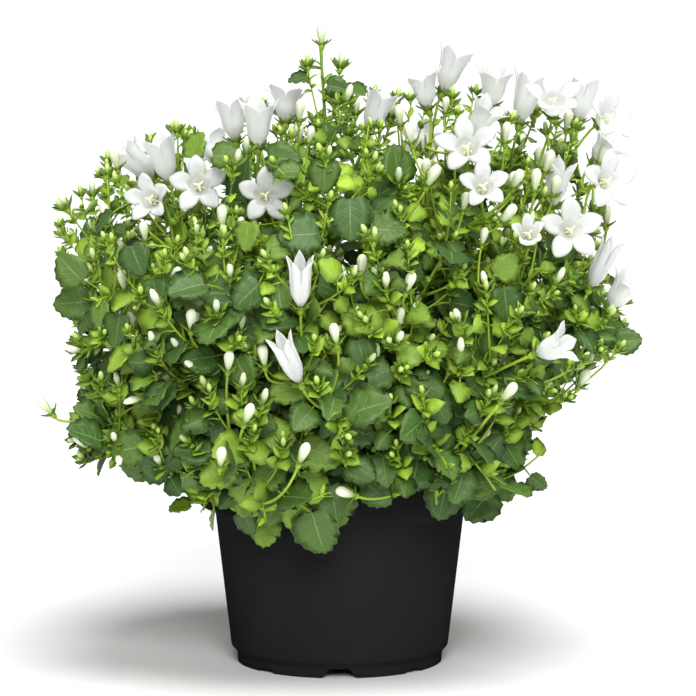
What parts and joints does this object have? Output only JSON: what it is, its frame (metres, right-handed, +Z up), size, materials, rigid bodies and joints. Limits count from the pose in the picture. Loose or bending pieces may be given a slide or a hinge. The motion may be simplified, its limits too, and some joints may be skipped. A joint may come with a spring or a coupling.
{
  "type": "potted dalmatian bellflower",
  "caption": "Bushy bedding plant with toothed green leaves and open white bell flowers, rooted in the soil of a round black plastic nursery pot.",
  "frame": {"origin": "middle of the pot's foot, on the surface that it stands on; the plant's box is centred on the pot's axis to about 1.5 mm", "axes": "+Z up along the pot's axis; the side that is seen in the picture faces -Y, and +X is to the viewer's right"},
  "size_m": [0.2561, 0.2273, 0.273],
  "materials": {
    "pot_plastic": "matt black moulded plastic with a soft sheen",
    "soil": "moist dark brown peat soil, crumbly",
    "green": "satin living leaf, deep green when old and lime green when young, with pale veins",
    "petal": "matt white petal with fine veins and a soft sheen"
  },
  "bodies": {
    "root": {"pot": "pot_plastic", "soil": "soil", "leafy_stem_1": "green", "leafy_stem_2": "green", "leafy_stem_3": "green", "leafy_stem_4": "green", "leafy_stem_5": "green", "leafy_stem_6": "green", "leafy_stem_7": "green", "leafy_stem_8": "green", "leafy_stem_9": "green", "leafy_stem_10": "green", "leafy_stem_11": "green", "leafy_stem_12": "green", "leafy_stem_13": "green", "leafy_stem_14": "green", "leafy_stem_15": "green", "leafy_stem_16": "green", "leafy_stem_17": "green", "leafy_stem_18": "green", "leafy_stem_19": "green", "leafy_stem_20": "green", "leafy_stem_21": "green", "leafy_stem_22": "green", "leafy_stem_23": "green", "leafy_stem_24": "green", "leafy_stem_25": "green", "leafy_stem_26": "green", "leafy_stem_27": "green", "flower_1": "petal", "flower_2": "petal", "flower_3": "petal", "flower_4": "petal", "flower_5": "petal", "flower_6": "petal", "flower_7": "petal", "flower_8": "petal", "flower_9": "petal", "flower_10": "petal", "flower_11": "petal", "flower_12": "petal", "flower_13": "petal", "flower_14": "petal", "flower_15": "petal", "flower_16": "petal", "flower_17": "petal", "flower_18": "petal", "flower_19": "petal", "flower_20": "petal", "flower_21": "petal", "flower_22": "petal", "flower_23": "petal", "flower_24": "petal", "flower_25": "petal", "flower_26": "petal", "flower_27": "petal", "flower_28": "petal", "flower_29": "petal", "flower_30": "petal", "flower_31": "petal"}
  },
  "joints": []
}
